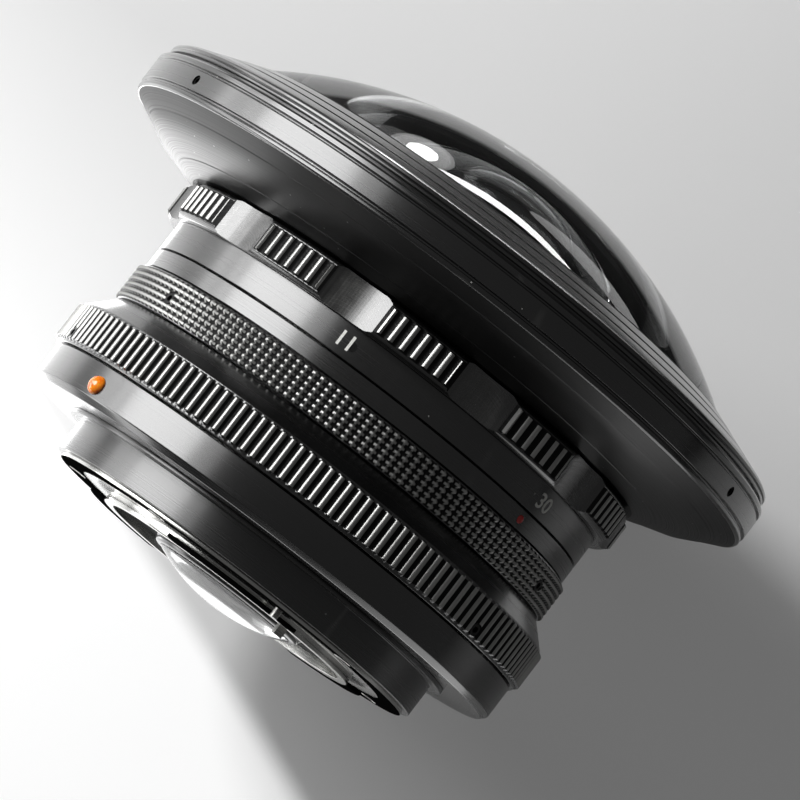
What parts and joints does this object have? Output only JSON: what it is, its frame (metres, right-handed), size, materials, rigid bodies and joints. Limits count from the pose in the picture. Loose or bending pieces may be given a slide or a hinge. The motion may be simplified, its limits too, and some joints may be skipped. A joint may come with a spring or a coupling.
{
  "type": "fisheye lens",
  "caption": "Fisheye lens with a domed front glass on a flared flange, ribbed rings, a rear bayonet and a coupled iris",
  "frame": {"origin": "centre of the bayonet's seat face, on the optical axis", "axes": "-Y along the optical axis toward the front glass, +Y the way the seat faces into the camera, +Z the side that carries the scales' view and the near claw, +X completes the right-handed frame"},
  "size_m": [0.1104, 0.0797, 0.1104],
  "materials": {
    "chrome_mount": "satin chromium plate on brass",
    "screw_steel": "turned steel",
    "black_screw": "blackened steel",
    "black_anodised": "black anodised, satin",
    "black_lacquer": "black semi-gloss lacquer on turned aluminium",
    "black_grip": "black anodised grip, milled ribs",
    "matt_black": "dead matt black",
    "orange_enamel": "glossy orange bead",
    "red_enamel": "red enamel fill",
    "brass": "turned brass",
    "blade_steel": "blued spring steel",
    "coated_glass": "polished, coated optical glass"
  },
  "bodies": {
    "mount": {"bayonet_plate": "chrome_mount", "bayonet_screws": "screw_steel", "claw_stop_pin": "screw_steel", "mount_barrel": "black_anodised", "adapter_ring": "black_lacquer", "mount_index_bead": "orange_enamel", "rear_baffle": "matt_black", "coupling_tab": "screw_steel", "main_tube": "black_anodised", "focus_key": "brass", "focus_key_screws": "screw_steel", "focus_retainer": "brass", "index_ring": "black_lacquer", "index_dot": "red_enamel", "click_ball": "screw_steel", "click_spring": "screw_steel"},
    "collar": {"locking_collar": "black_grip", "collar_set_screws": "black_screw"},
    "stop_ring": {"aperture_ring": "black_grip", "aperture_set_screws": "black_screw", "aperture_drive_pin": "screw_steel"},
    "focus": {"focus_ring": "black_grip", "helicoid_nut": "brass", "distance_ring": "black_lacquer", "distance_screws": "black_screw"},
    "optics": {"front_cone": "black_lacquer", "cone_screws": "screw_steel", "front_flange": "black_lacquer", "flange_screws": "black_screw", "front_ring": "black_lacquer", "front_dome": "coated_glass", "optical_barrel": "matt_black", "second_element": "coated_glass", "second_ring": "matt_black", "middle_cell": "matt_black", "third_element": "coated_glass", "third_ring": "matt_black", "iris_housing": "matt_black", "iris_cover": "matt_black", "rear_barrel": "black_anodised", "iris_spacer": "matt_black", "fourth_element": "coated_glass", "fourth_ring": "matt_black", "rear_spacer": "matt_black", "rear_element": "coated_glass", "rear_ring": "black_anodised"},
    "cam": {"iris_cam_ring": "brass"},
    "blade_1": {"iris_blade_1": "blade_steel"},
    "blade_2": {"iris_blade_2": "blade_steel"},
    "blade_3": {"iris_blade_3": "blade_steel"},
    "blade_4": {"iris_blade_4": "blade_steel"},
    "blade_5": {"iris_blade_5": "blade_steel"},
    "blade_6": {"iris_blade_6": "blade_steel"}
  },
  "joints": [
    {"name": "collar_turn", "type": "hinge", "parent": "mount", "child": "collar", "pos_m": [0, -0.0165, 0], "axis": [0, -1, 0], "range_deg": [0, 60]},
    {"name": "aperture_turn", "type": "hinge", "parent": "mount", "child": "stop_ring", "pos_m": [0, -0.026, 0], "axis": [0, -1, 0], "range_deg": [0, 48]},
    {"name": "focus_turn", "type": "hinge", "parent": "mount", "child": "focus", "pos_m": [0, -0.038, 0], "axis": [0, -1, 0], "range_deg": [0, 120]},
    {"name": "optics_slide", "type": "slide", "parent": "mount", "child": "optics", "axis": [0, -1, 0], "range_m": [0, 0.001]},
    {"name": "cam_turn", "type": "hinge", "parent": "optics", "child": "cam", "pos_m": [0, -0.0247, 0], "axis": [0, -1, 0], "range_deg": [0, 48]},
    {"name": "blade_1_swing", "type": "hinge", "parent": "optics", "child": "blade_1", "pos_m": [0.019, -0.022, 0], "axis": [0, -1, 0], "range_deg": [0, 22]},
    {"name": "blade_2_swing", "type": "hinge", "parent": "optics", "child": "blade_2", "pos_m": [0.0095, -0.022, 0.01645], "axis": [0, -1, 0], "range_deg": [0, 22]},
    {"name": "blade_3_swing", "type": "hinge", "parent": "optics", "child": "blade_3", "pos_m": [-0.0095, -0.022, 0.01645], "axis": [0, -1, 0], "range_deg": [0, 22]},
    {"name": "blade_4_swing", "type": "hinge", "parent": "optics", "child": "blade_4", "pos_m": [-0.019, -0.022, 0], "axis": [0, -1, 0], "range_deg": [0, 22]},
    {"name": "blade_5_swing", "type": "hinge", "parent": "optics", "child": "blade_5", "pos_m": [-0.0095, -0.022, -0.01645], "axis": [0, -1, 0], "range_deg": [0, 22]},
    {"name": "blade_6_swing", "type": "hinge", "parent": "optics", "child": "blade_6", "pos_m": [0.0095, -0.022, -0.01645], "axis": [0, -1, 0], "range_deg": [0, 22]}
  ],
  "couplings": [
    {"joint": "focus_turn", "follows": "optics_slide", "rad_per_m": 2094.4},
    {"joint": "cam_turn", "follows": "aperture_turn", "ratio": 1},
    {"joint": "blade_1_swing", "follows": "aperture_turn", "ratio": 0.45833},
    {"joint": "blade_2_swing", "follows": "aperture_turn", "ratio": 0.45833},
    {"joint": "blade_3_swing", "follows": "aperture_turn", "ratio": 0.45833},
    {"joint": "blade_4_swing", "follows": "aperture_turn", "ratio": 0.45833},
    {"joint": "blade_5_swing", "follows": "aperture_turn", "ratio": 0.45833},
    {"joint": "blade_6_swing", "follows": "aperture_turn", "ratio": 0.45833}
  ]
}
